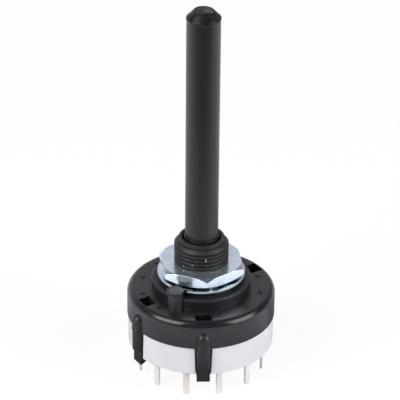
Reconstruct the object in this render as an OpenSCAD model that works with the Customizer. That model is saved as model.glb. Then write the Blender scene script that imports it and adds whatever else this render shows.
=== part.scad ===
// Rotary switch: a knob shaft in a threaded bush, a clip-on base and flat pins for a circuit board.
// The origin is the centre of the panel face (the collar's top), +Z runs up the shaft, sizes in millimetres.
// An azimuth is counted from the front (-Y) towards +X.

/* [Shaft] */
// Diameter of the knob shaft
shaft_d = 6; // [4.5:0.1:6.4]
// Height of the shaft's end above the panel face
shaft_top = 52.6; // [20:0.1:90]
// Height of the cone on the shaft's end
tip_h = 1.3; // [0.5:0.1:2.5]
// Diameter of the flat on the shaft's end
tip_d = 3.5; // [1:0.1:4]
// Diameter of the journal that turns in the bush
journal_d = 6.8; // [6.6:0.05:7]
// Depth of the journal's end below the bush's mouth
journal_drop = 1; // [0.3:0.05:2]
// Step from the shaft out to the neck between it and the journal
neck_step = 0.17; // [0.05:0.01:0.18]
// Height of the neck above the bush's mouth
neck_h = 0.17; // [0.05:0.01:1]
// Radial clearance of the journal and the pivot in their bores
running_gap = 0.05; // [0.02:0.01:0.08]

/* [Bush] */
// Major diameter of the bush's thread
bush_d = 9.9; // [9.7:0.05:10.2]
// Height of the thread above the panel face
thread_h = 7.55; // [5:0.05:14]
// Pitch of the thread
pitch = 0.75; // [0.5:0.05:0.85]
// Diameter of the plain nose above the thread
nose_d = 8.25; // [8.1:0.05:8.5]
// Height of the nose
nose_h = 0.78; // [0.5:0.02:2]
// Width and height of the chamfer that starts the thread
bush_chamfer = 0.55; // [0.2:0.05:0.7]
// Width of the chamfer inside the bush's mouth
mouth_chamfer = 0.2; // [0.05:0.05:0.25]

/* [Housing] */
// Diameter of the skirt
body_d = 27; // [26.6:0.1:30]
// Depth of the front face below the panel face
face_drop = 1.95; // [1.6:0.05:2.6]
// Height of the skirt from the front face to its lower edge
skirt_h = 5.35; // [5.1:0.05:7]
// Radius of the skirt's top edge
edge_r = 1.2; // [0.4:0.1:1.8]
// Thickness of the skirt's wall
wall = 1.25; // [0.9:0.05:1.35]
// Thickness of the front face
face_t = 1.4; // [1:0.1:2]
// Diameter of the raised collar
collar_d = 18.1; // [17.4:0.1:18.6]
// Thickness of the collar's roof
roof_t = 1.2; // [0.9:0.05:1.3]
// Chamfer on the collar's top edge
collar_chamfer = 0.2; // [0.1:0.05:0.5]

/* [Locating spigot] */
// Diameter of the lip on the spigot that stops the switch from turning in its panel
spigot_d = 3.15; // [2.8:0.05:3.2]
// Diameter of the spigot under its lip
spigot_neck_d = 2.65; // [2.1:0.05:2.8]
// Diameter of the spigot's foot
spigot_foot_d = 2.4; // [1.8:0.1:3]
// Height of the flared lip
spigot_lip_h = 0.5; // [0.2:0.05:0.8]
// Depth of the shallow dish in the spigot's end
spigot_dish = 0.1; // [0.05:0.05:0.3]
// Height of the spigot above the panel face
spigot_h = 1.8; // [1:0.1:3]
// Gap between the washer's rim and the spigot's lip
spigot_gap = 0.075; // [0.05:0.025:0.6]
// Azimuth of the spigot
spigot_azimuth = -31; // [-36:1:-24]

/* [Clips] */
// Width of the windows in the front face above the clips
window_w = 2.9; // [2.4:0.05:3.4]
// Length of the windows towards the shaft
window_l = 2.25; // [1.5:0.05:3]
// Chamfer on the edge of the windows that is nearest the shaft
window_chamfer = 0.2; // [0.05:0.05:0.4]
// Thickness of the skirt left behind a window
clip_skin = 1; // [0.6:0.05:1.15]
// Diameter of the half-round rib on the skirt above each clip
rib_d = 2.66; // [2.2:0.02:3]
// Height of the ribs, measured from the skirt's lower edge
rib_h = 3.25; // [2:0.05:3.6]
// Distance of the ribs' centre line from the shaft's axis, outside the window
rib_out = 0.65; // [0.4:0.05:0.9]
// Diameter of a clip's round leg
leg_d = 2.5; // [1.8:0.05:2.6]
// Length of the round leg below the skirt
leg_h = 4.2; // [3:0.1:5]
// Chamfer on the lower end of the round leg
leg_chamfer = 0.2; // [0.05:0.05:0.4]
// Width of the clip's foot and hook
foot_w = 2.4; // [1.6:0.05:2.5]
// Height of the hook below the base
hook_h = 1.4; // [0.9:0.1:2]
// Reach of the hook under the base
hook_reach = 0.6; // [0.3:0.05:1]
// Distance of the foot's flat outer face from the leg's centre line
foot_face = 0.45; // [0.2:0.05:0.9]

/* [Base] */
// How far the base stands back from the skirt
base_step = 0.2; // [0:0.05:0.25]
// Height of the base below the skirt
base_h = 5.5; // [4.5:0.1:8]
// Height of the register that centres the base in the skirt
register_h = 0.5; // [0.3:0.05:0.6]
// Width of the notch for each clip at the top of the base
notch_top_w = 3.26; // [2.8:0.02:3.6]
// Width of the notch at the bottom of the base
notch_bottom_w = 2.8; // [2.6:0.1:3.2]
// Diameter of the recess in the underside
recess_d = 18; // [12:0.5:20]
// Depth of the recess in the underside
recess_h = 1.2; // [0.4:0.1:2.5]
// Diameter of the pivot at the spindle's lower end
pivot_d = 3; // [2:0.1:3.6]
// Length of the pivot in the base
pivot_l = 1.6; // [0.8:0.1:3]

/* [Contacts] */
// Number of ways, each with its own terminal
ways = 12; // [6:1:12]
// Distance of the outer pins' centre lines in from the skirt's outer face
pin_inset = 1.95; // [1.75:0.05:2.6]
// Width of a pin
pin_w = 1.1; // [0.7:0.05:1.3]
// Thickness of the pins and their pads
pin_t = 0.4; // [0.25:0.05:0.5]
// Length of the pins below the base
pin_l = 5.6; // [3:0.1:10]
// Length of the rounded point of a pin
point_l = 0.8; // [0.3:0.1:1.5]
// Width of the contact pads
pad_w = 2.4; // [1.4:0.1:3]
// Length of the contact pads towards the shaft
pad_l = 3.2; // [2:0.1:4]
// Depth of the pads in the base
pad_sink = 0.2; // [0.05:0.05:0.25]
// Diameter of the middle of the common ring
common_d = 8.8; // [8.2:0.1:10]
// Width of the common ring
common_w = 1.5; // [1:0.1:1.8]
// Width of the wiper blade
wiper_w = 2; // [1.4:0.1:2.6]
// Thickness of the wiper blade
wiper_t = 0.25; // [0.15:0.05:0.3]
// Height of the wiper's contact points
dimple_h = 0.3; // [0.2:0.05:0.4]
// Diameter of the wiper's contact points
dimple_d = 0.9; // [0.5:0.1:1.2]

/* [Detent] */
// Diameter of the spindle's hub
hub_d = 13.8; // [13.4:0.1:14.2]
// Radial gap between the hub and the crests of the detent ring
crest_gap = 0.7; // [0.6:0.05:0.85]
// Depth of the detent notches
notch_depth = 0.4; // [0.2:0.05:0.45]
// Diameter of the detent balls
ball_d = 2.38; // [2.2:0.02:2.6]
// Wire diameter of the detent spring
wire_d = 0.3; // [0.2:0.05:0.4]
// Number of turns of the detent spring
spring_turns = 12; // [6:1:16]
// Depth of the stop track in the hub's top
track_h = 0.8; // [0.5:0.05:0.9]
// Diameter of the stop ring's peg
peg_d = 0.9; // [0.6:0.05:1]

/* [Fasteners] */
// Width of the nut across its flats
nut_af = 14.3; // [13:0.1:15]
// Height of the nut
nut_h = 2.3; // [1.8:0.05:4]
// Azimuth of a corner of the nut as it was left when tightened
nut_azimuth = 6; // [0:1:59]
// How far the washer reaches out beyond the nut's flats
washer_lip = 0.8; // [0.2:0.05:0.85]
// Thickness of the washer
washer_t = 0.5; // [0.3:0.05:1]
// How far the stop ring reaches out beyond the hub under it
stop_ring_lip = 0.1; // [0:0.05:0.8]
// Thickness of the stop ring
stop_ring_t = 0.8; // [0.4:0.05:1.2]

/* [Hidden] */
$fn = 96;
// Small overrun that keeps a cut clear of the face it opens
over = 0.05;
// Longer overrun of cuts that end in open space
margin = 1;
// Clearance between parts that slide together once and stay there
seat_gap = 0.05;
// Clearance between neighbours that move past each other
move_gap = 0.1;
// Thinnest wall around the ball bore
bore_wall = 0.3;
// Gap between a detent ball and what it rests against
ball_gap = 0.02;
// Free angle at each end of the travel before the lug meets the stop peg
stop_slack = 0.5;
// The clips and their windows, two opposite pairs
CLIP_AZIMUTHS = [0, -60, 120, 180];
// The first way, which the wiper and the stop lug point at, at rest
FIRST_AZIMUTH = -180 / ways;

// Step from the skirt's lower edge up to the ribs' lower ends
rib_lift = 0.05;
// Gap between the base and the hooks that hold it
hook_lift = 0.03;
// Height of the hook's vertical tip
hook_lip = 0.65;
// Width of the foot's flat lower end
foot_flat = 0.3;
// Distance of the clip's tapered plate from the clip's inner face, and from the base's outer face
plate_back = 0.1;
plate_sink = 0.15;
// Step from the journal's radius in to the drive boss's
boss_step = 0.6;
// Depth of the flats on the drive boss
boss_flat = 0.5;
// Width of the contact carrier's rim beyond the wiper's outer contact point
carrier_rim = 0.6;
// Diameter of the stakes that hold the wiper blade
stake_d = 0.9;
// Depth of the thread's grooves as a share of the pitch
THREAD_DEPTH = 0.55;
// Half width of a groove's mouth as a share of the pitch
GROOVE_HALF = 0.34;
// Width of the crest above the first groove
first_crest = 0.05;
// Radius of the detent notches as a share of the balls' radius
NOTCH_SPREAD = 1.1;
// Diameters of the flat land on the nut's two ends as a share of its width across the flats
TOP_LAND = 1.035;
BOTTOM_LAND = 0.94;
// Slope of the nut's chamfers
chamfer_slope = tan(30);
// Sides of the nut
NUT_SIDES = 6;
// Sides of the spring wire, and rings of points in a turn of it
WIRE_SIDES = 8;
TURN_STEPS = 16;

step_angle = 360 / ways;

shaft_r = shaft_d / 2;
neck_r = shaft_r + neck_step;
journal_r = journal_d / 2;
bush_r = bush_d / 2;
bore_r = journal_r + running_gap;
nose_r = nose_d / 2;
nose_top = thread_h + nose_h;
thread_depth = THREAD_DEPTH * pitch;
groove_half = GROOVE_HALF * pitch;
first_groove = thread_h - bush_chamfer - first_crest - groove_half;
groove_count = floor(first_groove / pitch);

body_r = body_d / 2;
collar_r = collar_d / 2;
face_z = -face_drop;
skirt_z = face_z - skirt_h;
cavity_r = body_r - wall;

window_out = body_r - clip_skin;
rib_r = rib_d / 2;
rib_centre = window_out + rib_out;
leg_end_z = skirt_z - leg_h;
base_z = skirt_z - base_h;
hook_top = base_z - hook_lift;
foot_z = base_z - hook_h;
hook_tip = window_out - hook_reach;
foot_out = rib_centre + foot_face;

base_r = body_r - base_step;
register_r = cavity_r - move_gap;
stator_z = skirt_z + register_h;
pad_floor = stator_z - pad_sink;
pivot_r = pivot_d / 2;

pin_ring = body_r - pin_inset;
pad_top = pad_floor + pin_t;
pad_inner = pin_ring + pin_t / 2 - pad_l;
common_r = common_d / 2;

ball_r = ball_d / 2;
ball_bore_r = ball_r + running_gap;
hub_r = hub_d / 2;
hub_top = -roof_t - move_gap;
ball_z = hub_top - track_h - bore_wall - ball_bore_r;
hub_z = ball_z - ball_bore_r - bore_wall;
crest_r = hub_r + crest_gap;
scallop_r = ball_r * NOTCH_SPREAD;
ring_z = hub_z + move_gap;
ball_reach = crest_r - ball_gap - ball_r;
ball_azimuth = FIRST_AZIMUTH + 90;
stop_reach = bush_r + peg_d;
peg_angle = peg_d / stop_reach * 180 / PI;
lug_angle = step_angle - peg_angle - 2 * stop_slack;
stop_azimuth = FIRST_AZIMUTH + step_angle / 2;

wiper_z = pad_top + move_gap / 2 + dimple_h;
carrier_z = wiper_z + wiper_t;
drive_r = journal_r - boss_step;
drive_flat = drive_r - boss_flat;
wiper_reach = pad_inner + dimple_d;
carrier_r = wiper_reach + carrier_rim;

nut_z = stop_ring_t + washer_t;
nut_turn = 180 / NUT_SIDES;
nut_corner = nut_af / 2 / cos(nut_turn);
washer_r = nut_af / 2 + washer_lip;
spigot_reach = washer_r + spigot_gap + spigot_d / 2;
stop_ring_r = hub_r + stop_ring_lip;

function terminal_name(way) = str("terminal_", way < 10 ? "0" : "", way);

// Turns its children from the front to an azimuth
module at(azimuth) {
    rotate([0, 0, azimuth]) children();
}

// A ring between two radii and two heights
module ring(inner, outer, low, high) {
    translate([0, 0, low])
        difference() {
            cylinder(r = outer, h = high - low);
            translate([0, 0, -over]) cylinder(r = inner, h = high - low + 2 * over);
        }
}

// A block at the front, from one radius to another, centred on the -Y axis
module front_block(width, inner, outer, low, high) {
    translate([-width / 2, -outer, low]) cube([width, outer - inner, high - low]);
}

// Points down the outside of the thread, one annular groove for each pitch
function thread_line(growth) = [
    for (i = [0:groove_count - 1], corner = [
        [bush_r, groove_half],
        [bush_r - thread_depth, 0],
        [bush_r, -groove_half]
    ]) [corner[0] + growth, first_groove - i * pitch + corner[1]]
];

// Half section of the bush and its mouth, above the panel face
module bush_section() {
    polygon(concat(
        [
            [bore_r, -roof_t],
            [bore_r, nose_top - mouth_chamfer],
            [bore_r + mouth_chamfer, nose_top],
            [nose_r - mouth_chamfer / 2, nose_top],
            [nose_r, nose_top - mouth_chamfer / 2],
            [nose_r, thread_h],
            [bush_r - bush_chamfer, thread_h],
            [bush_r, thread_h - bush_chamfer]
        ],
        thread_line(0),
        [
            [bush_r, -roof_t]
        ]
    ));
}

// Half section of the collar, the face and the skirt, filled down to the skirt's lower edge
module shell_section() {
    polygon([
        [bore_r, skirt_z],
        [bore_r, 0],
        [collar_r - collar_chamfer, 0],
        [collar_r, -collar_chamfer],
        [collar_r, face_z],
        [body_r - edge_r, face_z],
        [body_r - edge_r, face_z - edge_r],
        [body_r, face_z - edge_r],
        [body_r, skirt_z]
    ]);
    intersection() {
        translate([body_r - edge_r, face_z - edge_r]) circle(r = edge_r);
        translate([body_r - edge_r, face_z - edge_r]) square(edge_r);
    }
}

// Half section of the cavity, with the bore of the detent ring above it
module cavity_section() {
    polygon([
        [0, skirt_z - over],
        [cavity_r, skirt_z - over],
        [cavity_r, face_z - face_t],
        [collar_r, face_z - face_t],
        [collar_r, ring_z],
        [crest_r, ring_z],
        [crest_r, -roof_t],
        [0, -roof_t]
    ]);
}

// The half-round rib on the skirt, with a domed top
module rib() {
    translate([0, -rib_centre, skirt_z + rib_lift]) cylinder(r = rib_r, h = rib_h - rib_r - rib_lift);
    translate([0, -rib_centre, skirt_z + rib_h - rib_r]) sphere(r = rib_r);
}

// A clip's springy leg with its tapered plate, the foot and the hook that holds the base
module clip_leg() {
    translate([0, -rib_centre, leg_end_z]) {
        cylinder(d1 = leg_d - 2 * leg_chamfer, d2 = leg_d, h = leg_chamfer);
        translate([0, 0, leg_chamfer]) cylinder(d = leg_d, h = leg_h - leg_chamfer + over);
    }
    tapered_block(seat_gap, window_out + plate_back, base_r - plate_sink);
    translate([foot_w / 2, 0, 0])
        rotate([0, -90, 0])
            linear_extrude(foot_w)
                polygon([
                    [skirt_z + over, -window_out + over],
                    [hook_top, -window_out + over],
                    [hook_top, -hook_tip],
                    [hook_top - hook_lip, -hook_tip],
                    [foot_z, -foot_out + foot_flat],
                    [foot_z, -foot_out],
                    [skirt_z + over, -foot_out]
                ]);
}

// A block that tapers downwards past the base like the notch for a clip, narrowed by a gap at each side
module tapered_block(gap, inner, outer) {
    top = notch_top_w / 2 - gap;
    bottom = notch_bottom_w / 2 - gap;
    translate([0, -inner, 0])
        rotate([90, 0, 0])
            linear_extrude(outer - inner)
                polygon([
                    [-top, skirt_z + over],
                    [top, skirt_z + over],
                    [bottom, base_z - over],
                    [-bottom, base_z - over]
                ]);
}

// The opening above each hook, which also cuts the flat inner face of the clip
module window() {
    inner = window_out - window_l;
    translate([window_w / 2, 0, 0])
        rotate([0, -90, 0])
            linear_extrude(window_w)
                polygon([
                    [hook_top, -window_out],
                    [hook_top, -inner],
                    [face_z - window_chamfer, -inner],
                    [face_z + over, -inner + window_chamfer + over],
                    [face_z + over, -window_out]
                ]);
}

// The locating spigot, which stands on the face and flares to a dished lip
module spigot() {
    lip_z = spigot_h - spigot_lip_h;
    rim = spigot_d / 2 - spigot_dish;
    at(spigot_azimuth) translate([0, -spigot_reach, 0])
        rotate_extrude()
            polygon([
                [0, face_z - over],
                [spigot_foot_d / 2, face_z - over],
                [spigot_neck_d / 2, lip_z],
                [spigot_d / 2, spigot_h - spigot_dish],
                [spigot_d / 2, spigot_h],
                [rim, spigot_h],
                [rim - spigot_dish, spigot_h - spigot_dish],
                [0, spigot_h - spigot_dish]
            ]);
}

module front_housing() {
    color("#2b2b2e")
        difference() {
            union() {
                rotate_extrude() {
                    bush_section();
                    shell_section();
                }
                for (azimuth = CLIP_AZIMUTHS) at(azimuth) {
                    rib();
                    clip_leg();
                }
                spigot();
            }
            rotate_extrude() cavity_section();
            for (azimuth = CLIP_AZIMUTHS) at(azimuth) window();
            for (i = [0:ways - 1]) at(ball_azimuth + i * step_angle)
                translate([0, -(crest_r + notch_depth - scallop_r), ring_z - over])
                    cylinder(r = scallop_r, h = -roof_t - ring_z + over);
            for (i = [0:ways - 1]) at(stop_azimuth + i * step_angle)
                translate([0, -stop_reach, -roof_t - over])
                    cylinder(d = peg_d + move_gap, h = roof_t + 2 * over);
        }
}

module base() {
    color("#dfe0e6")
        difference() {
            union() {
                translate([0, 0, base_z]) cylinder(r = base_r, h = base_h);
                translate([0, 0, skirt_z]) cylinder(r = register_r, h = register_h);
            }
            for (azimuth = CLIP_AZIMUTHS) at(azimuth)
                tapered_block(0, window_out - seat_gap, body_r + margin);
            translate([0, 0, base_z - over]) cylinder(d = recess_d, h = recess_h + over);
            translate([0, 0, stator_z - pivot_l - move_gap])
                cylinder(r = pivot_r + running_gap, h = pivot_l + margin);
            for (i = [0:ways - 1]) at(FIRST_AZIMUTH - i * step_angle) {
                pin_slot(pin_ring);
                front_block(pad_w + 2 * seat_gap, pad_inner - seat_gap, pin_ring + pin_t / 2 + seat_gap,
                    pad_floor - seat_gap, stator_z + over);
            }
            at(FIRST_AZIMUTH + 180) pin_slot(common_r);
            ring(common_r - common_w / 2 - seat_gap, common_r + common_w / 2 + seat_gap,
                pad_floor - seat_gap, stator_z + over);
        }
}

// The slot that a pin passes through
module pin_slot(reach) {
    front_block(pin_w + 2 * seat_gap, reach - pin_t / 2 - seat_gap, reach + pin_t / 2 + seat_gap,
        base_z - over, stator_z + over);
}

// A flat pin with a rounded point, from a height down to its tip
module pin(reach, top) {
    tip_z = base_z - pin_l;
    translate([0, -reach + pin_t / 2, 0])
        rotate([90, 0, 0])
            linear_extrude(pin_t)
                polygon(concat(
                    [[pin_w / 2, top], [-pin_w / 2, top]],
                    [for (a = [180:15:360]) [pin_w / 2 * cos(a), tip_z + point_l + point_l * sin(a)]]
                ));
}

module terminal(way) {
    color("#d9d4cc")
        at(FIRST_AZIMUTH - (way - 1) * step_angle) {
            pin(pin_ring, pad_top);
            front_block(pad_w, pad_inner, pin_ring + pin_t / 2, pad_floor, pad_top);
        }
}

module common_terminal() {
    color("#d9d4cc") {
        at(FIRST_AZIMUTH + 180) pin(common_r, pad_top);
        ring(common_r - common_w / 2, common_r + common_w / 2, pad_floor, pad_top);
    }
}

module stop_ring() {
    color("#b9bfc4") {
        ring(bush_r + move_gap, stop_ring_r, 0, stop_ring_t);
        at(stop_azimuth) translate([0, -stop_reach, hub_top - track_h / 2])
            cylinder(d = peg_d, h = track_h / 2 - hub_top + over);
    }
}

module washer() {
    color("#d5dadd") ring(bush_r + move_gap, washer_r, stop_ring_t, nut_z);
}

module hex_nut() {
    color("#dfe6ea")
        difference() {
            intersection() {
                at(nut_azimuth + nut_turn) translate([0, 0, nut_z])
                    cylinder(r = nut_corner, h = nut_h, $fn = NUT_SIDES);
                rotate_extrude() nut_section();
            }
            rotate_extrude() thread_section(seat_gap);
        }
}

// Half section of the nut's two chamfers, the lower one deeper
module nut_section() {
    outer = nut_corner + over;
    low_land = BOTTOM_LAND * nut_af / 2;
    top_land = TOP_LAND * nut_af / 2;
    polygon([
        [0, nut_z],
        [low_land, nut_z],
        [outer, nut_z + (outer - low_land) * chamfer_slope],
        [outer, nut_z + nut_h - (outer - top_land) * chamfer_slope],
        [top_land, nut_z + nut_h],
        [0, nut_z + nut_h]
    ]);
}

// Half section of the thread as a solid bar, grown by a clearance
module thread_section(growth) {
    polygon(concat(
        [[0, thread_h], [bush_r + growth, thread_h]],
        thread_line(growth),
        [[bush_r + growth, 0], [0, 0]]
    ));
}

module spindle() {
    color("#26262a")
        difference() {
            union() {
                translate([0, 0, hub_top]) cylinder(r = journal_r, h = nose_top - journal_drop - hub_top);
                cylinder(r = neck_r, h = nose_top + neck_h);
                cylinder(r = shaft_r, h = shaft_top - tip_h);
                translate([0, 0, shaft_top - tip_h]) cylinder(r1 = shaft_r, r2 = tip_d / 2, h = tip_h);
                translate([0, 0, hub_z]) cylinder(r = hub_r, h = hub_top - hub_z);
                drive_boss(0, stator_z + over, hub_z + over);
                translate([0, 0, stator_z - pivot_l]) cylinder(r = pivot_r, h = pivot_l + hub_z - stator_z);
            }
            at(ball_azimuth) translate([0, hub_r + margin, ball_z])
                rotate([90, 0, 0]) cylinder(r = ball_bore_r, h = 2 * (hub_r + margin));
            stop_track();
        }
}

// The boss with two flats that turns the contact carrier
module drive_boss(growth, low, high) {
    intersection() {
        translate([0, 0, low]) cylinder(r = drive_r + growth, h = high - low);
        translate([-drive_flat - growth, -drive_r - margin, low])
            cube([2 * (drive_flat + growth), 2 * (drive_r + margin), high - low]);
    }
}

// The track that the stop peg runs in, with a lug left standing that meets the peg at each end of the travel
module stop_track() {
    at(FIRST_AZIMUTH - 90 + lug_angle / 2)
        translate([0, 0, hub_top - track_h])
            rotate_extrude(angle = 360 - lug_angle)
                translate([stop_reach - peg_d / 2 - move_gap, 0])
                    square([peg_d + 2 * move_gap, track_h + over]);
}

module detent_ball(side) {
    color("#c9cdd0")
        at(ball_azimuth + side) translate([0, -ball_reach, ball_z]) sphere(r = ball_r);
}

// Rings of points along the spring's helix, joined into one closed tube
module detent_spring() {
    length = 2 * (ball_reach - ball_r - ball_gap) - wire_d;
    coil_r = ball_r - ball_gap - wire_d / 2;
    count = spring_turns * TURN_STEPS;
    points = [
        for (i = [0:count], j = [0:WIRE_SIDES - 1])
            let (a = 360 * i / TURN_STEPS, b = 360 * j / WIRE_SIDES, r = coil_r + wire_d / 2 * cos(b))
                [r * cos(a), r * sin(a), length * (i / count - 0.5) + wire_d / 2 * sin(b)]
    ];
    walls = [
        for (i = [0:count - 1], j = [0:WIRE_SIDES - 1])
            let (k = (j + 1) % WIRE_SIDES, low = i * WIRE_SIDES, high = low + WIRE_SIDES)
                [low + j, low + k, high + k, high + j]
    ];
    ends = [[for (j = [WIRE_SIDES - 1:-1:0]) j], [for (j = [0:WIRE_SIDES - 1]) count * WIRE_SIDES + j]];
    color("#aeb4b8")
        at(ball_azimuth) translate([0, 0, ball_z]) rotate([90, 0, 0])
            polyhedron(points = points, faces = concat(walls, ends), convexity = 10);
}

module contact_carrier() {
    color("#e8e4d8")
        difference() {
            union() {
                translate([0, 0, carrier_z]) cylinder(r = carrier_r, h = hub_z - carrier_z);
                for (reach = [common_r + dimple_d, wiper_reach - dimple_d])
                    at(FIRST_AZIMUTH) translate([0, -reach, wiper_z - over])
                        cylinder(d = stake_d - 2 * seat_gap, h = wiper_t + 2 * over);
            }
            drive_boss(seat_gap, carrier_z - over, hub_z + over);
        }
}

module wiper_blade() {
    color("#c8a26a")
        at(FIRST_AZIMUTH) difference() {
            union() {
                front_block(wiper_w, common_r - dimple_d, wiper_reach + dimple_d, wiper_z, carrier_z);
                for (reach = [common_r, wiper_reach])
                    translate([0, -reach, wiper_z - dimple_h]) cylinder(d = dimple_d, h = dimple_h + over);
            }
            for (reach = [common_r + dimple_d, wiper_reach - dimple_d])
                translate([0, -reach, wiper_z - over]) cylinder(d = stake_d, h = wiper_t + 2 * over);
        }
}

front_housing();
base();
stop_ring();
washer();
hex_nut();
spindle();
detent_spring();
detent_ball(0);  // detent_ball_a
detent_ball(180);  // detent_ball_b
contact_carrier();
wiper_blade();
common_terminal();
for (way = [1:ways]) {
    terminal(way);
}
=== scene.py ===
"""Looks of the rotary switch: camera, light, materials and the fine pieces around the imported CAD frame."""

import math

import bpy
from mathutils import Matrix, Vector


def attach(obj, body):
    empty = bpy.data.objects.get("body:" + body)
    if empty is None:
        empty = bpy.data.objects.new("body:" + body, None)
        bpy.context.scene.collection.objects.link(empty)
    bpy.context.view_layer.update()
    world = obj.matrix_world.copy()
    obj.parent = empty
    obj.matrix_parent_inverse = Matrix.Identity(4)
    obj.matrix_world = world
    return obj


MM = 0.001
FLOOR_Z = -18.4 * MM

# The camera's place in the part's frame, found from the photograph's outline
CAMERA_AT = Vector((-14.348, -341.308, 203.075)) * MM
CAMERA_AZIMUTH = math.radians(-2.35)
CAMERA_ELEVATION = math.radians(28.755)
CAMERA_ROLL = math.radians(0.555)
LENS = 196.2
SENSOR = 36

# The foot of the cone on the shaft's end, and the height just below its cut face, in millimetres
CONE_FOOT = 51.3
CONE_TOP = 52.5

# Radius and height, in millimetres, down the outside of the burr at the cone's foot
BURR = (
    (2.72, 51.60), (2.86, 51.47), (2.98, 51.35), (3.05, 51.25), (3.08, 51.14), (3.05, 51.02), (3.02, 50.85),
    (2.985, 50.60), (2.40, 50.60))

# The middle and the radius of the chip on the shaft's end, in millimetres
CHIP_AT = (1.25, -0.95, 52.5)
CHIP_RADIUS = 0.38

# The middle, half lengths and lean of the sliver on the thread's front, in millimetres
SLIVER_AT = (0.58, -4.8, 5.92)
SLIVER_HALVES = (0.085, 0.6, 0.45)
SLIVER_LEAN = math.radians(-24)

# The locating spigot's axis and the seam below the ribs, in millimetres
SPIGOT_AT = (-4.944, -8.229, 0)
SEAM_Z = -6.75

# Heights and radii, in millimetres, between which the housing's finish changes
FACE_EDGE = (-2.4, -2.0)
COLLAR_EDGE = (-0.4, -0.1)
RIB_EDGE = (13.53, 13.58)
# The spigot's radii and foot, within which the housing is painted lighter as painted light
SPIGOT_EDGE = (1.75, 1.65)
SPIGOT_FOOT = (-1.93, -1.88)

# The bush's radius inside its thread, and the part of the thread that has nicks, in millimetres
THREAD_CORE = 4.85
NICKED_THREAD = (3.5, 6.0)

# Where the worn part of the shaft starts, in millimetres
WORN_EDGE = (50.6, 51.1)

# Where the painted shade and reflection on the washer's front start up its wall and towards the front, in
# millimetres
PAINTED_REFLECTION_EDGE = (1.08, 1.2)
PAINTED_REFLECTION_FRONT = (-3.0, -4.6)

# Bands of painted reflection across the washer's painted shade: where each starts and ends along X, in
# millimetres, and its colour
PAINTED_REFLECTION_BANDS = (
    (-5.7, -3.9, (0.09, 0.11, 0.125)),
    (-5.0, -4.4, (0.28, 0.32, 0.35)),
    (-2.3, -1.75, (0.06, 0.09, 0.105)),
    (-1.3, 2.9, (0.26, 0.3, 0.34)),
    (1.15, 1.85, (0.85, 0.95, 1.0)),
    (3.9, 8.0, (0.06, 0.08, 0.095)))

# The painted highlight on the washer's outer edge: its radius, where it starts along X on the left and on
# the right, and its lighter zinc
PAINTED_RIM_EDGE = (7.88, 7.93)
PAINTED_RIM_SIDES = ((-5.2, -5.8), (2.4, 3.6))
PAINTED_RIM_ZINC = (0.8, 0.88, 0.94)

# The numbers of the ways on the face
WAYS = 12
FACE_Z = -1.95 * MM
NUMERAL_REACH = 11.0 * MM
NUMERAL_SIZE = 1.45 * MM
NUMERAL_RISE = 0.11 * MM

# The world's plain light and what glosses mirror in it, at the horizon and overhead
WORLD_FILL = (0.1, 0.05)
WORLD_GLOSS = (0.92, 0.22)

# The shares of that which glosses mirror in front and on the right
FRONT_GLOSS = 0.15
RIGHT_GLOSS = 0.46

# What glosses mirror in the floor, far in front and at the switch, and the shares left under and behind it,
# where a shadow of the switch is painted
FLOOR_GLOSS = (0.05, 1.1)
FLOOR_PAINTED_SHADOW_UNDER = 0.2
FLOOR_PAINTED_SHADOW_BEHIND = 0.36

# The floor's own glow for the camera, near the switch and far off, and the metres over which it changes
FLOOR_GLOW = (0.9, 1.0)
FLOOR_FADE = (0.15, 0.5)

# Tints of the plain light and of what glosses mirror, and the lamps' distance in metres
LIGHT_TINT = (1.0, 0.99, 1.02, 1)
GLOSS_TINT = (1.0, 0.98, 1.07, 1)
LAMP_DISTANCE = 0.6

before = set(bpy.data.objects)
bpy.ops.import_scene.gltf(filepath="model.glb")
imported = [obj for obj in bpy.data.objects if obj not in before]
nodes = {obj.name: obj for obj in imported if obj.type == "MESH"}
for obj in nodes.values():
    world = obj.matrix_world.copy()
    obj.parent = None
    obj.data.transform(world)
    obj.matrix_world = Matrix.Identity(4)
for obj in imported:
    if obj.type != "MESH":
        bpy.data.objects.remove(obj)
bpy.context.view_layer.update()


# Materials

def new_tree(name):
    """A material with its node tree, empty but for the output node."""
    material = bpy.data.materials.new(name)
    material.use_nodes = True
    tree = material.node_tree
    tree.nodes.clear()
    output = tree.nodes.new("ShaderNodeOutputMaterial")
    return material, tree, output


def add(tree, kind, **values):
    """A node with its properties set, or its inputs where a name has no such property."""
    node = tree.nodes.new(kind)
    for key, value in values.items():
        if hasattr(node, key):
            setattr(node, key, value)
        else:
            node.inputs[key.replace("_", " ")].default_value = value
    return node


def noise(tree, place, scale, detail=2.0, roughness=0.5):
    node = add(tree, "ShaderNodeTexNoise", Scale=scale, Detail=detail, Roughness=roughness)
    tree.links.new(place, node.inputs["Vector"])
    return node.outputs["Fac"]


def spread(tree, value, low, high, start=0.3, end=0.7):
    """Maps a noise value to the range from low to high."""
    node = add(tree, "ShaderNodeMapRange")
    node.inputs["From Min"].default_value = start
    node.inputs["From Max"].default_value = end
    node.inputs["To Min"].default_value = low
    node.inputs["To Max"].default_value = high
    tree.links.new(value, node.inputs["Value"])
    return node.outputs["Result"]


def blend(tree, value, first, second):
    """A colour between two colours by a value from 0 to 1."""
    node = add(tree, "ShaderNodeMix", data_type="RGBA")
    tree.links.new(value, node.inputs["Factor"])
    for socket, colour in ((node.inputs[6], first), (node.inputs[7], second)):
        socket.default_value = (*colour, 1)
    return node.outputs[2]


def millimetres(tree, stretch=(1, 1, 1)):
    """The part's own coordinates in millimetres, stretched for grain that runs one way."""
    place = add(tree, "ShaderNodeTexCoord")
    mapping = add(tree, "ShaderNodeMapping")
    mapping.inputs["Scale"].default_value = tuple(s / MM for s in stretch)
    tree.links.new(place.outputs["Object"], mapping.inputs["Vector"])
    return mapping.outputs["Vector"]


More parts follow.
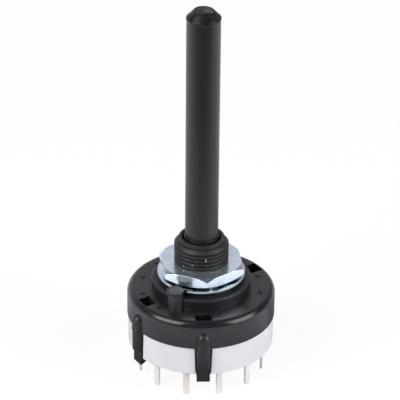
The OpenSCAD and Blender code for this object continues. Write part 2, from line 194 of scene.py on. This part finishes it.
def finish(name, colours, roughness, grain, metallic=0.0, patch=0.25, edge=0.08, stretch=(1, 1, 1)):
    """A finish with broad colour patches, uneven gloss, a fine grain and softened edges.

    colours and roughness are pairs, grain is (marks per mm, height in mm, detail)."""
    material, tree, output = new_tree(name)
    shader = add(tree, "ShaderNodeBsdfPrincipled", Metallic=metallic)
    place = millimetres(tree, stretch)
    broad = noise(tree, place, patch, 3.0, 0.6)
    tree.links.new(blend(tree, spread(tree, broad, 0, 1), *colours), shader.inputs["Base Color"])
    gloss = noise(tree, place, patch * 4, 4.0, 0.6)
    tree.links.new(spread(tree, gloss, *roughness), shader.inputs["Roughness"])
    per_mm, height, detail = grain
    bump = add(tree, "ShaderNodeBump", Strength=1.0, Distance=height * MM)
    tree.links.new(noise(tree, place, per_mm, detail), bump.inputs["Height"])
    soft = add(tree, "ShaderNodeBevel", samples=6, Radius=edge * MM)
    tree.links.new(soft.outputs["Normal"], bump.inputs["Normal"])
    tree.links.new(bump.outputs["Normal"], shader.inputs["Normal"])
    tree.links.new(shader.outputs["BSDF"], output.inputs["Surface"])
    return material


def vector_math(tree, operation, first, second):
    """A vector worked out from a vector and a second one, plain numbers or a value to scale by."""
    node = add(tree, "ShaderNodeVectorMath", operation=operation)
    tree.links.new(first, node.inputs[0])
    socket = node.inputs["Scale"] if operation == "SCALE" else node.inputs[1]
    if isinstance(second, bpy.types.NodeSocket):
        tree.links.new(second, socket)
    else:
        socket.default_value = second
    return node.outputs[0]


def shader_of(material):
    return next(node for node in material.node_tree.nodes if node.type == "BSDF_PRINCIPLED")


def along(tree, axis, start, end, first=0, last=1):
    """A value that goes from first to last between two places on an axis, in millimetres."""
    parts = add(tree, "ShaderNodeSeparateXYZ")
    tree.links.new(millimetres(tree), parts.inputs[0])
    return spread(tree, parts.outputs[axis], first, last, start, end)


def by_radius(tree, inner, outer, centre=(0, 0, 0)):
    """0 inside the first radius around an upright axis and 1 outside the second, in millimetres."""
    length = add(tree, "ShaderNodeVectorMath", operation="LENGTH")
    flat = vector_math(tree, "SUBTRACT", millimetres(tree, (1, 1, 0)), centre)
    tree.links.new(flat, length.inputs[0])
    return spread(tree, length.outputs["Value"], 0, 1, inner, outer)


def product(tree, *values):
    result = values[0]
    for value in values[1:]:
        node = add(tree, "ShaderNodeMath", operation="MULTIPLY")
        tree.links.new(result, node.inputs[0])
        tree.links.new(value, node.inputs[1])
        result = node.outputs["Value"]
    return result


def band(tree, axis, start, end, soft=0.15):
    """1 between two places on an axis, in millimetres, with soft ends."""
    rise = along(tree, axis, start - soft, start + soft)
    fall = along(tree, axis, end + soft, end - soft)
    return product(tree, rise, fall)


def lead_over(tree, socket, mask, target):
    """Changes what feeds a shader's input to a plain value where a mask is 1."""
    source = socket.links[0].from_socket
    coloured = socket.type == "RGBA"
    node = add(tree, "ShaderNodeMix", data_type="RGBA" if coloured else "FLOAT")
    first, second, result = (6, 7, 2) if coloured else (2, 3, 0)
    tree.links.new(mask, node.inputs[0])
    tree.links.new(source, node.inputs[first])
    node.inputs[second].default_value = (*target, 1) if coloured else target
    tree.links.new(node.outputs[result], socket)


def add_lean(material, lean):
    """Adds a vector to a material's surface direction."""
    tree = material.node_tree
    normal = shader_of(material).inputs["Normal"]
    tilted = vector_math(tree, "ADD", normal.links[0].from_socket, lean)
    tree.links.new(vector_math(tree, "NORMALIZE", tilted, (0, 0, 0)), normal)


def upright(tree, height):
    """A vector along Z of a given height."""
    node = add(tree, "ShaderNodeCombineXYZ")
    tree.links.new(height, node.inputs["Z"])
    return node.outputs["Vector"]


def add_cut_end(material, height, facets_per_mm, tilt):
    """Tilts the surface above a height in small flat facets, as a knife leaves it."""
    tree = material.node_tree
    cells = add(tree, "ShaderNodeTexVoronoi", Scale=facets_per_mm)
    tree.links.new(millimetres(tree), cells.inputs["Vector"])
    lean = vector_math(tree, "SUBTRACT", cells.outputs["Color"], (0.5, 0.5, 0.5))
    above = along(tree, "Z", height - 0.02, height + 0.02, 0, tilt)
    add_lean(material, vector_math(tree, "SCALE", lean, above))


def add_dome(material, foot, top, below, above):
    """Leans a cone's surface outwards at its foot and upwards at its top, so that it looks domed."""
    tree = material.node_tree
    on_cone = along(tree, "Z", foot - 0.02, foot + 0.02)
    lean = product(tree, along(tree, "Z", foot, top, below, above), on_cone)
    add_lean(material, upright(tree, lean))


def add_seam(material, height, half, radius, tilt):
    """A fine step around the pieces outside a radius."""
    tree = material.node_tree
    below = along(tree, "Z", height - half - 0.01, height - half, 0, tilt)
    above = along(tree, "Z", height + half + 0.01, height + half)
    add_lean(material, upright(tree, product(tree, below, above, by_radius(tree, radius, radius + 0.02))))


def add_matt(material, mask, roughness):
    lead_over(material.node_tree, shader_of(material).inputs["Roughness"], mask, roughness)


def add_worn_end(material, low, high):
    """Makes the surface above a height dull in patches, as handling leaves it."""
    tree = material.node_tree
    patches = spread(tree, noise(tree, millimetres(tree), 1.1, 3.0), 0.08, 0.36, 0.4, 0.62)
    node = add(tree, "ShaderNodeMix", data_type="FLOAT")
    tree.links.new(along(tree, "Z", low, high), node.inputs[0])
    node.inputs[2].default_value = 0.5
    tree.links.new(patches, node.inputs[3])
    tree.links.new(node.outputs[0], shader_of(material).inputs["Specular IOR Level"])


def add_chip(material, centre, radius, colour):
    """A pale broken spot around a point, in millimetres."""
    tree = material.node_tree
    reach = add(tree, "ShaderNodeVectorMath", operation="LENGTH")
    tree.links.new(vector_math(tree, "SUBTRACT", millimetres(tree), centre), reach.inputs[0])
    spot = spread(tree, reach.outputs["Value"], 0, 1, radius, radius * 0.6)
    broken = spread(tree, noise(tree, millimetres(tree), 4.0), 0, 1, 0.46, 0.54)
    lead_over(tree, shader_of(material).inputs["Base Color"], product(tree, spot, broken), colour)


def add_sliver(material, centre, halves, lean, colour):
    """A pale ellipsoid of three half lengths around a point, in millimetres, leaning from Z towards X."""
    tree = material.node_tree
    place = add(tree, "ShaderNodeMapping", vector_type="TEXTURE")
    place.inputs["Location"].default_value = centre
    place.inputs["Rotation"].default_value = (0, lean, 0)
    place.inputs["Scale"].default_value = halves
    tree.links.new(millimetres(tree), place.inputs["Vector"])
    reach = add(tree, "ShaderNodeVectorMath", operation="LENGTH")
    tree.links.new(place.outputs["Vector"], reach.inputs[0])
    spot = spread(tree, reach.outputs["Value"], 0, 1, 1.0, 0.8)
    lead_over(tree, shader_of(material).inputs["Base Color"], spot, colour)


def add_nicks(material, inner, low, high, colour):
    """Small bright nicks where a raised part outside a radius has been knocked, between two heights."""
    tree = material.node_tree
    spots = spread(tree, noise(tree, millimetres(tree, (1, 1, 1.6)), 2.3, 1.0), 0, 1, 0.7, 0.73)
    above = along(tree, "Z", low, low + 0.1)
    below = along(tree, "Z", high + 0.1, high)
    mask = product(tree, spots, by_radius(tree, inner, inner + 0.05), above, below)
    lead_over(tree, shader_of(material).inputs["Base Color"], mask, colour)


def make_housing_black():
    """A glossy skirt, a satin face, a matt bush and ribs, nicks on the thread, a seam across the ribs, and
    painted light on the spigot, which is painted lighter than the black around it.
    """
    material = finish(
        "housing_black", ((0.010, 0.010, 0.013), (0.015, 0.014, 0.018)), (0.15, 0.22), (7.0, 0.004, 3.0),
        edge=0.12)
    tree = material.node_tree
    add_matt(material, along(tree, "Z", *FACE_EDGE), 0.34)
    add_matt(material, along(tree, "Z", *COLLAR_EDGE), 0.5)
    add_matt(material, by_radius(tree, *RIB_EDGE), 0.42)
    add_nicks(material, THREAD_CORE, *NICKED_THREAD, (0.8, 0.8, 0.82))
    add_sliver(material, SLIVER_AT, SLIVER_HALVES, SLIVER_LEAN, (0.5, 0.5, 0.52))
    add_seam(material, SEAM_Z, 0.1, 13.6, 1.2)
    # Painted light: the spigot is painted a lighter black than the housing around it
    spigot_painted_light = product(tree, by_radius(tree, *SPIGOT_EDGE, SPIGOT_AT), along(tree, "Z", *SPIGOT_FOOT))
    lead_over(tree, shader_of(material).inputs["Base Color"], spigot_painted_light, (0.028, 0.028, 0.033))
    return material


def make_shaft_black():
    """A fine satin drawn along the shaft, with a domed look, a cut face, wear and a chip at its end."""
    material = finish(
        "shaft_black", ((0.009, 0.009, 0.011), (0.014, 0.013, 0.016)), (0.32, 0.42), (5.0, 0.003, 3.0),
        stretch=(1, 1, 0.15))
    add_dome(material, CONE_FOOT, CONE_TOP, -0.1, 0.15)
    add_cut_end(material, CONE_TOP, 0.9, 0.25)
    add_worn_end(material, *WORN_EDGE)
    add_chip(material, CHIP_AT, CHIP_RADIUS, (0.3, 0.3, 0.32))
    return material


def make_washer_zinc():
    """Bright zinc, with painted shade and painted reflections in dark and light bands on its front, and a
    painted highlight on its rim at its sides.
    """
    material = finish(
        "washer_zinc", ((0.66, 0.76, 0.84), (0.76, 0.85, 0.92)), (0.12, 0.20), (3.0, 0.002, 4.0),
        metallic=1.0, patch=0.5)
    tree = material.node_tree
    # Painted shade and reflection: the washer's front is painted dark, broken into patches, for the shade
    # and the mirrored dark underside of the nut
    painted_reflection = product(tree, along(tree, "Z", *PAINTED_REFLECTION_EDGE), along(tree, "Y", *PAINTED_REFLECTION_FRONT))
    painted_reflection = product(tree, painted_reflection, spread(tree, noise(tree, millimetres(tree), 0.45), 1, 0, 0.72, 0.76))
    zinc_colour = shader_of(material).inputs["Base Color"]
    lead_over(tree, zinc_colour, painted_reflection, (0.012, 0.017, 0.024))
    # Painted reflections: lighter and darker bands painted across the dark front
    for start, end, colour in PAINTED_REFLECTION_BANDS:
        lead_over(tree, zinc_colour, product(tree, painted_reflection, band(tree, "X", start, end)), colour)
    # Painted highlight: a lighter, matt zinc painted on the rim at both sides
    for side in PAINTED_RIM_SIDES:
        painted_rim = product(tree, by_radius(tree, *PAINTED_RIM_EDGE), along(tree, "X", *side))
        lead_over(tree, zinc_colour, painted_rim, PAINTED_RIM_ZINC)
        add_matt(material, painted_rim, 0.45)
    return material


housing_black = make_housing_black()
mark_black = finish(
    "mark_black", ((0.012, 0.012, 0.015), (0.018, 0.017, 0.021)), (0.10, 0.16), (7.0, 0.004, 3.0), edge=0.05)
shaft_black = make_shaft_black()
base_white = finish(
    "base_white", ((0.74, 0.74, 0.78), (0.78, 0.78, 0.82)), (0.42, 0.55), (5.0, 0.004, 3.0))
zinc = finish(
    "zinc", ((0.66, 0.79, 0.89), (0.88, 0.96, 1.0)), (0.14, 0.26), (3.0, 0.003, 4.0),
    metallic=0.9, patch=0.5)
# Painted shade: the stop ring, zinc-plated like the washer, is painted a dark dull zinc for the shade under
# the washer
painted_shade_zinc = finish(
    "painted_shade_zinc", ((0.20, 0.23, 0.26), (0.28, 0.31, 0.34)), (0.30, 0.42), (3.0, 0.002, 4.0),
    metallic=1.0, patch=0.5)
washer_zinc = make_washer_zinc()
tin = finish(
    "tin", ((0.95, 0.93, 0.91), (0.98, 0.97, 0.96)), (0.38, 0.50), (6.0, 0.002, 3.0),
    metallic=0.15, patch=0.6)
warm_tin = finish(
    "warm_tin", ((0.94, 0.87, 0.79), (0.97, 0.91, 0.84)), (0.38, 0.50), (6.0, 0.002, 3.0),
    metallic=0.15, patch=0.6)
spring_wire = finish(
    "spring_wire", ((0.42, 0.43, 0.45), (0.52, 0.53, 0.55)), (0.25, 0.35), (8.0, 0.001, 2.0), metallic=1.0)
ball_steel = finish(
    "ball_steel", ((0.56, 0.57, 0.59), (0.60, 0.61, 0.63)), (0.08, 0.14), (8.0, 0.0005, 2.0), metallic=1.0)
bronze = finish(
    "bronze", ((0.62, 0.40, 0.20), (0.70, 0.48, 0.26)), (0.22, 0.34), (6.0, 0.001, 3.0), metallic=1.0)
carrier_natural = finish(
    "carrier_natural", ((0.72, 0.68, 0.58), (0.78, 0.74, 0.65)), (0.42, 0.55), (6.0, 0.003, 3.0))

FINISHES = {
    "front_housing": housing_black,
    "spindle": shaft_black,
    "base": base_white,
    "hex_nut": zinc,
    "washer": washer_zinc,
    "stop_ring": painted_shade_zinc,
    "terminal_01": warm_tin,
    "detent_spring": spring_wire,
    "detent_ball_a": ball_steel,
    "detent_ball_b": ball_steel,
    "wiper_blade": bronze,
    "contact_carrier": carrier_natural,
}
for name, node in nodes.items():
    node.data.materials.clear()
    node.data.materials.append(FINISHES.get(name, tin))


# Fine pieces

def toward(azimuth, elevation=0.0):
    """The direction at an azimuth, counted from the front (-Y) towards +X, and an elevation, in degrees."""
    azimuth, elevation = math.radians(azimuth), math.radians(elevation)
    flat = math.cos(elevation)
    return Vector((math.sin(azimuth) * flat, -math.cos(azimuth) * flat, math.sin(elevation)))


def keep(obj, material, body="switch_body"):
    """Finishes a piece and fixes it to its body."""
    obj.data.materials.clear()
    obj.data.materials.append(material)
    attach(obj, body)


def make_burr(sides=96):
    """The rim that was pressed out at the foot of the cone on the shaft's end."""
    count = len(BURR)
    turns = [math.tau * side / sides for side in range(sides)]
    points = [(r * MM * math.cos(turn), r * MM * math.sin(turn), z * MM) for turn in turns for r, z in BURR]
    faces = [
        (side * count + i, side * count + (i + 1) % count,
         (side + 1) % sides * count + (i + 1) % count, (side + 1) % sides * count + i)
        for side in range(sides) for i in range(count)]
    mesh = bpy.data.meshes.new("shaft_burr")
    mesh.from_pydata(points, [], faces)
    mesh.shade_smooth()
    burr = bpy.data.objects.new(mesh.name, mesh)
    bpy.context.scene.collection.objects.link(burr)
    keep(burr, shaft_black, "rotor")


def make_numerals():
    """The raised numbers of the ways on the face, outside the collar."""
    for way in range(1, WAYS + 1):
        curve = bpy.data.curves.new(f"numeral_{way:02d}", "FONT")
        curve.body = str(way)
        curve.align_x = "CENTER"
        curve.align_y = "CENTER"
        curve.size = NUMERAL_SIZE
        curve.extrude = NUMERAL_RISE
        curve.bevel_depth = NUMERAL_RISE / 3
        curve.bevel_resolution = 1
        curve.resolution_u = 4
        text = bpy.data.objects.new(curve.name, curve)
        bpy.context.scene.collection.objects.link(text)
        mesh = bpy.data.meshes.new_from_object(text.evaluated_get(bpy.context.evaluated_depsgraph_get()))
        bpy.data.objects.remove(text)
        azimuth = -(way - 0.5) * 360 / WAYS
        numeral = bpy.data.objects.new(mesh.name, mesh)
        bpy.context.scene.collection.objects.link(numeral)
        numeral.rotation_euler.z = math.radians(azimuth + 180)
        numeral.location = toward(azimuth) * NUMERAL_REACH + Vector((0, 0, FACE_Z))
        keep(numeral, mark_black)


# The stage: a pale floor, the white surround, three long soft lamps and the camera

def light_path(tree):
    """Two sockets that are 1 for rays straight from the camera, and from a gloss or a clear material."""
    path = add(tree, "ShaderNodeLightPath")
    either = add(tree, "ShaderNodeMath", operation="MAXIMUM")
    tree.links.new(path.outputs["Is Glossy Ray"], either.inputs[0])
    tree.links.new(path.outputs["Is Transmission Ray"], either.inputs[1])
    return path.outputs["Is Camera Ray"], either.outputs["Value"]


def mix_shader(tree, value, first, second):
    node = add(tree, "ShaderNodeMixShader")
    tree.links.new(value, node.inputs["Fac"])
    tree.links.new(first, node.inputs[1])
    tree.links.new(second, node.inputs[2])
    return node.outputs["Shader"]


def graded(tree, value, start, end, first, last):
    """A value that runs smoothly from first to last as another runs from start to end."""
    ramp = add(tree, "ShaderNodeMapRange", interpolation_type="SMOOTHSTEP")
    ramp.inputs["From Min"].default_value = start
    ramp.inputs["From Max"].default_value = end
    ramp.inputs["To Min"].default_value = first
    ramp.inputs["To Max"].default_value = last
    tree.links.new(value, ramp.inputs["Value"])
    return ramp.outputs["Result"]


def make_world():
    """White for the camera, brightest behind and on the left for glosses, and a plain fill for the rest."""
    world = bpy.data.worlds.new("studio")
    bpy.context.scene.world = world
    world.use_nodes = True
    tree = world.node_tree
    tree.nodes.clear()
    output = tree.nodes.new("ShaderNodeOutputWorld")
    place = add(tree, "ShaderNodeTexCoord")
    parts = add(tree, "ShaderNodeSeparateXYZ")
    tree.links.new(place.outputs["Generated"], parts.inputs[0])
    white = add(tree, "ShaderNodeBackground", Color=(1, 1, 1, 1), Strength=1.0)
    fill = add(tree, "ShaderNodeBackground", Color=LIGHT_TINT)
    gloss = add(tree, "ShaderNodeBackground", Color=GLOSS_TINT)
    tree.links.new(graded(tree, parts.outputs["Z"], 0.0, 0.9, *WORLD_FILL), fill.inputs["Strength"])
    overhead = graded(tree, parts.outputs["Z"], 0.3, 0.9, *WORLD_GLOSS)
    in_front = graded(tree, parts.outputs["Y"], 0.1, 0.9, FRONT_GLOSS, 1.0)
    to_right = graded(tree, parts.outputs["X"], -0.2, 0.5, 1.0, RIGHT_GLOSS)
    tree.links.new(product(tree, overhead, in_front, to_right), gloss.inputs["Strength"])
    camera, others = light_path(tree)
    unseen = mix_shader(tree, others, fill.outputs[0], gloss.outputs[0])
    tree.links.new(mix_shader(tree, camera, unseen, white.outputs[0]), output.inputs["Surface"])


def make_floor():
    """White paper, which glosses mirror darker in front, with a painted shadow under and close behind the
    switch.
    """
    bpy.ops.mesh.primitive_plane_add(size=4, location=(0, 0, FLOOR_Z))
    floor = bpy.context.object
    floor.name = "floor"
    material, tree, output = new_tree("floor_white")
    paper = add(tree, "ShaderNodeBsdfDiffuse")
    paper.inputs["Color"].default_value = (0.8, 0.8, 0.8, 1)
    shade = add(tree, "ShaderNodeBsdfDiffuse")
    shade.inputs["Color"].default_value = (0.12, 0.12, 0.12, 1)
    glow = add(tree, "ShaderNodeEmission")
    seen = add(tree, "ShaderNodeAddShader")
    tree.links.new(shade.outputs[0], seen.inputs[0])
    tree.links.new(glow.outputs[0], seen.inputs[1])
    mirrored = add(tree, "ShaderNodeEmission", Color=GLOSS_TINT)
    place = add(tree, "ShaderNodeTexCoord")
    parts = add(tree, "ShaderNodeSeparateXYZ")
    tree.links.new(place.outputs["Object"], parts.inputs[0])
    across = add(tree, "ShaderNodeVectorMath", operation="LENGTH")
    tree.links.new(place.outputs["Object"], across.inputs[0])
    in_front = graded(tree, parts.outputs["Y"], -0.13, -0.02, *FLOOR_GLOSS)
    # Painted shadow: what glosses mirror in the floor is darkened under the switch
    painted_shadow_under = graded(tree, across.outputs["Value"], 0.018, 0.038, FLOOR_PAINTED_SHADOW_UNDER, 1.0)
    tree.links.new(graded(tree, across.outputs["Value"], *FLOOR_FADE, *FLOOR_GLOW), glow.inputs["Strength"])
    # Painted shadow: what glosses mirror in the floor is darkened close behind the switch, more on the right
    behind = graded(tree, parts.outputs["Y"], 0.0, 0.012, 0.0, 1.0)
    near = graded(tree, across.outputs["Value"], 0.045, 0.08, 1.0, 0.0)
    to_right = graded(tree, parts.outputs["X"], -0.01, 0.02, 0.47, 1.0)
    painted_shadow_behind = spread(tree, product(tree, behind, near, to_right), 1, FLOOR_PAINTED_SHADOW_BEHIND, 0, 1)
    tree.links.new(product(tree, in_front, painted_shadow_under, painted_shadow_behind), mirrored.inputs["Strength"])
    camera, others = light_path(tree)
    plain = mix_shader(tree, others, paper.outputs[0], mirrored.outputs[0])
    tree.links.new(mix_shader(tree, camera, plain, seen.outputs[0]), output.inputs["Surface"])
    floor.data.materials.append(material)


def make_lamp(name, first, second, width, power):
    """A long soft lamp whose ends stand in two directions, and that faces the part."""
    first, second = toward(*first) * LAMP_DISTANCE, toward(*second) * LAMP_DISTANCE
    data = bpy.data.lights.new(name, "AREA")
    data.shape = "RECTANGLE"
    data.size = (second - first).length
    data.size_y = width
    data.energy = power
    lamp = bpy.data.objects.new(name, data)
    bpy.context.scene.collection.objects.link(lamp)
    centre = (first + second) / 2
    long_side = (second - first).normalized()
    back = centre.normalized()
    turn = Matrix((long_side, back.cross(long_side), back)).transposed().to_4x4()
    lamp.matrix_world = Matrix.Translation(centre) @ turn


def make_camera():
    data = bpy.data.cameras.new("camera")
    data.sensor_width = SENSOR
    data.lens = LENS
    data.clip_end = 10
    camera = bpy.data.objects.new("camera", data)
    bpy.context.scene.collection.objects.link(camera)
    turn = Matrix.Rotation(CAMERA_AZIMUTH, 4, "Z")
    tilt = Matrix.Rotation(math.pi / 2 - CAMERA_ELEVATION, 4, "X")
    roll = Matrix.Rotation(CAMERA_ROLL, 4, "Z")
    camera.matrix_world = Matrix.Translation(CAMERA_AT) @ turn @ tilt @ roll
    bpy.context.scene.camera = camera


make_numerals()
make_burr()
make_world()
make_floor()
make_lamp("lamp_left", (-52, 13), (-66, 58), 0.39, 2.8)
make_lamp("lamp_right", (60, 1), (72, 50), 0.36, 2.6)
make_lamp("lamp_back", (150, 52), (200, 52), 0.17, 0.27)
make_camera()
bpy.context.scene.view_settings.view_transform = "Standard"
